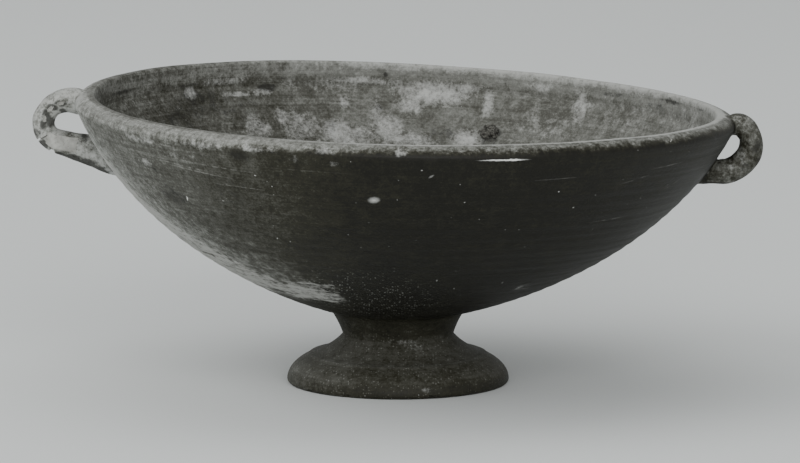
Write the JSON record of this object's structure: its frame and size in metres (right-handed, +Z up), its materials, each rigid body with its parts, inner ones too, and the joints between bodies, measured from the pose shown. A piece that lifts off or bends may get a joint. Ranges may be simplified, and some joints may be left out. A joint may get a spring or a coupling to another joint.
{
  "type": "kylix cup",
  "caption": "Wide shallow drinking bowl of fired clay on a low stemmed foot, with small loop handles at the rim; sagged, worn and chipped.",
  "frame": {"origin": "middle of the foot's resting ring, on the surface that the cup stands on", "axes": "+Z up along the foot's axis; +X towards the handle on the side where the rim sags; -Y towards the viewer"},
  "size_m": [0.266, 0.24, 0.1074],
  "materials": {
    "slipped_clay": null
  },
  "bodies": {
    "root": {"cup": "slipped_clay"}
  },
  "joints": []
}
